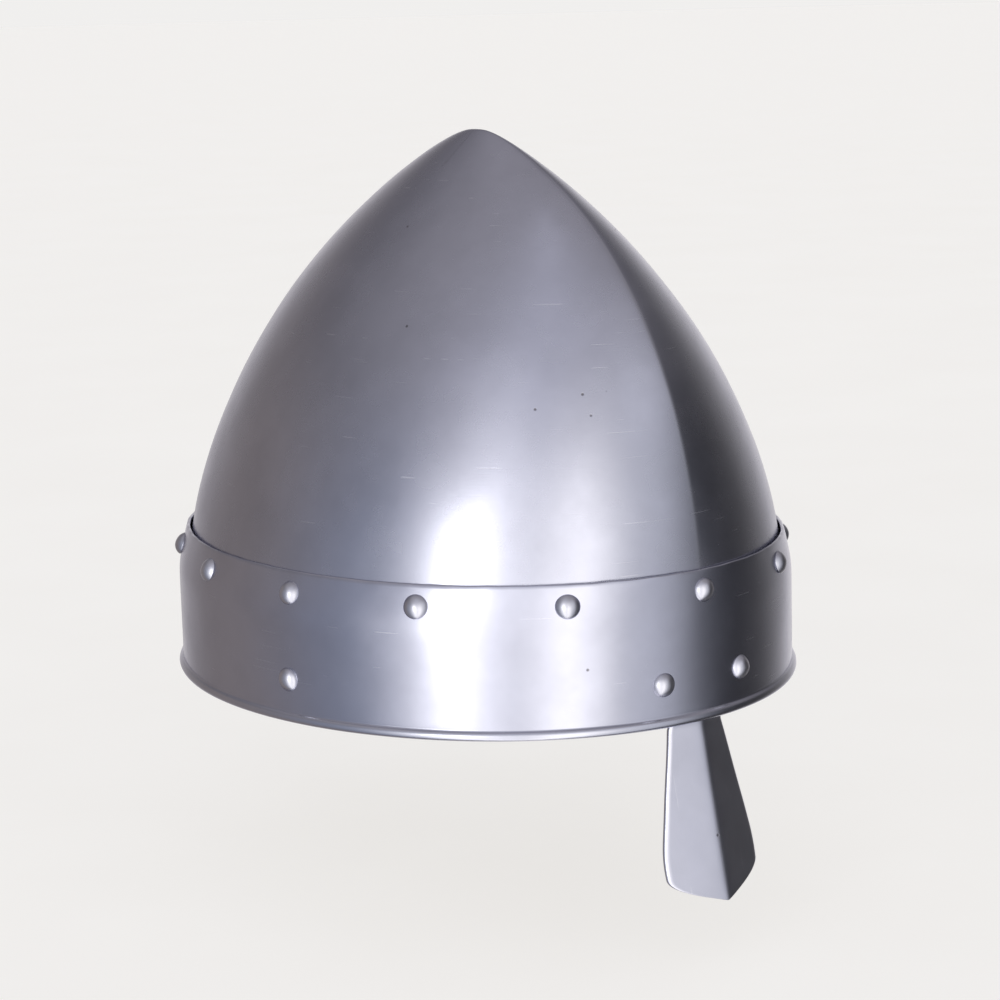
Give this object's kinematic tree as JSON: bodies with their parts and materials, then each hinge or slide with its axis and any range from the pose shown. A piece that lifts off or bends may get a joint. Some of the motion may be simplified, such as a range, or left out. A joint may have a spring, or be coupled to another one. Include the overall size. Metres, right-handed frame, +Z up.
{
  "type": "nasal helmet",
  "caption": "Pointed, keeled steel helmet in a riveted brow band with a folded nasal guard, a laced leather liner and a buckled chin strap that swings on two side rivets.",
  "frame": {"origin": "centre of the rim, in the plane the rolled edge of the brow band stands on", "axes": "+Z up to the crown, the face looks along -Y, the wearer's right hand is at -X"},
  "size_m": [0.2028, 0.2385, 0.2388],
  "materials": {
    "skull_steel": "satin polished sheet steel with fine scratches",
    "band_steel": "satin polished sheet steel with a rolled rim",
    "nasal_steel": "satin polished sheet steel",
    "rivet_steel": "polished domed steel rivets",
    "washer_steel": "dull steel",
    "liner_leather": "vegetable tanned leather",
    "lace_leather": "waxed leather thong",
    "strap_leather": "dark bridle leather",
    "buckle_brass": "worn cast brass"
  },
  "bodies": {
    "shell": {"brow_band": "band_steel", "skull": "skull_steel", "nasal_guard": "nasal_steel", "brow_rivets": "rivet_steel", "nasal_rivets": "rivet_steel", "strap_rivets": "rivet_steel", "brow_rivet_washers": "washer_steel", "nasal_rivet_washers": "washer_steel", "strap_rivet_washers": "washer_steel", "liner_headband": "liner_leather", "liner_tongue_1": "liner_leather", "liner_tongue_2": "liner_leather", "liner_tongue_3": "liner_leather", "liner_tongue_4": "liner_leather", "liner_tongue_5": "liner_leather", "liner_tongue_6": "liner_leather", "liner_tongue_7": "liner_leather", "liner_tongue_8": "liner_leather", "crown_lace": "lace_leather"},
    "chin_strap": {"chin_strap_long": "strap_leather", "chin_strap_short": "strap_leather", "strap_keeper": "strap_leather", "buckle_frame": "buckle_brass", "buckle_fold_rivet": "buckle_brass"},
    "buckle_prong": {"buckle_prong": "buckle_brass"}
  },
  "joints": [
    {"name": "chin_strap_swing", "type": "hinge", "parent": "shell", "child": "chin_strap", "pos_m": [0, -0.02379, 0.0139], "axis": [-1, 0, 0], "range_deg": [0, 180]},
    {"name": "buckle_prong_lift", "type": "hinge", "parent": "chin_strap", "child": "buckle_prong", "pos_m": [-0.01, -0.02379, 0.0885], "axis": [0, 1, 0], "range_deg": [0, 20]}
  ]
}
